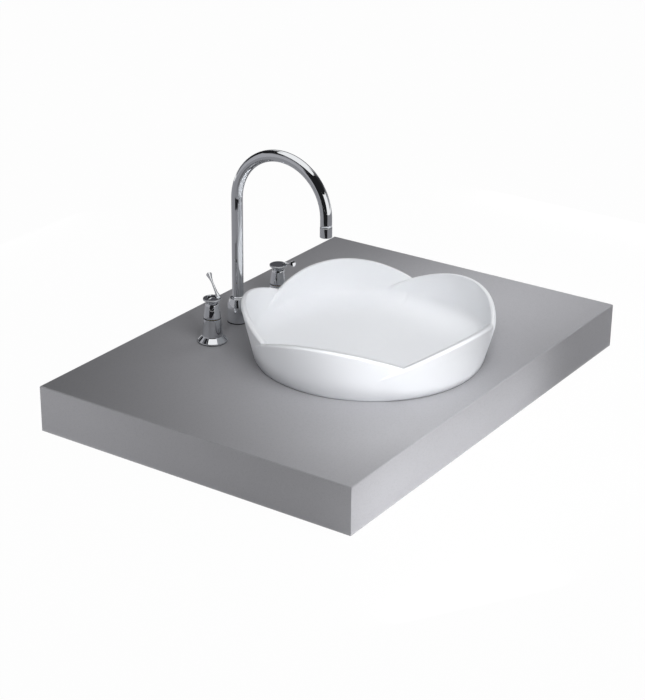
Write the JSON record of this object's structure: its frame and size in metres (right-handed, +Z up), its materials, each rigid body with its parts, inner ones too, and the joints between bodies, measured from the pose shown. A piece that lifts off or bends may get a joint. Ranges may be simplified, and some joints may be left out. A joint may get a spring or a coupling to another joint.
{
  "type": "countertop basin",
  "caption": "Round ceramic vessel basin of overlapping petals on a thick counter piece, with a flush plug, a swivel gooseneck spout and a lever valve on each side.",
  "frame": {"origin": "middle of the counter's underside", "axes": "+X along the wall to the cold side, +Y to the wall, +Z up; the user stands on the -Y side"},
  "size_m": [0.85, 0.6, 0.4061],
  "materials": {
    "counter": "satin solid surface, grey",
    "ceramic": "gloss white glaze",
    "chrome": "polished plate",
    "brass": "machined",
    "steel": "plain",
    "copper": "drawn copper pipe",
    "rubber": "moulded",
    "silicone": "translucent white bead",
    "plastic": "acetal"
  },
  "bodies": {
    "counter": {"back_apron": "counter", "basin": "ceramic", "basin_seal": "silicone", "click_cartridge": "plastic", "cold_cartridge": "brass", "cold_escutcheon": "chrome", "cold_gasket": "rubber", "cold_nut": "brass", "cold_pipe": "copper", "cold_pipe_nuts": "brass", "cold_valve_body": "brass", "cold_washer": "steel", "counter_top": "counter", "front_apron": "counter", "hot_cartridge": "brass", "hot_escutcheon": "chrome", "hot_gasket": "rubber", "hot_nut": "brass", "hot_pipe": "copper", "hot_pipe_nuts": "brass", "hot_valve_body": "brass", "hot_washer": "steel", "left_apron": "counter", "right_apron": "counter", "spout_base": "chrome", "spout_bush": "plastic", "spout_gasket": "rubber", "spout_lower_oring": "rubber", "spout_nut": "brass", "spout_shank": "brass", "spout_tee": "brass", "spout_thrust_washer": "plastic", "spout_upper_oring": "rubber", "spout_washer": "steel", "waste_body": "chrome", "waste_flange_seal": "rubber", "waste_grommet": "rubber", "waste_nut": "brass", "waste_washer": "steel"},
    "spout": {"spout_tube": "chrome", "spout_clip": "steel", "spout_collar": "chrome", "spout_nozzle": "chrome", "aerator_insert": "plastic", "aerator_seal": "rubber"},
    "hot_lever": {"hot_lever_head": "chrome", "hot_lever_rod": "chrome", "hot_lever_screw": "steel", "hot_spindle": "brass"},
    "cold_lever": {"cold_lever_head": "chrome", "cold_lever_rod": "chrome", "cold_lever_screw": "steel", "cold_spindle": "brass"},
    "plug": {"plug_cap": "ceramic", "plug_seal": "rubber", "plug_stem": "steel"}
  },
  "joints": [
    {"name": "spout_swivel", "type": "hinge", "parent": "counter", "child": "spout", "pos_m": [-0.024, 0.201, 0.1], "axis": [0, 0, 1], "range_deg": [-75, 75]},
    {"name": "hot_lever_turn", "type": "hinge", "parent": "counter", "child": "hot_lever", "pos_m": [-0.12, 0.1835, 0.13], "axis": [0, 0, 1], "range_deg": [-90, 0]},
    {"name": "cold_lever_turn", "type": "hinge", "parent": "counter", "child": "cold_lever", "pos_m": [0.072, 0.1835, 0.13], "axis": [0, 0, 1], "range_deg": [-90, 0]},
    {"name": "plug_lift", "type": "slide", "parent": "counter", "child": "plug", "axis": [0, 0, 1], "range_m": [0, 0.009]}
  ]
}
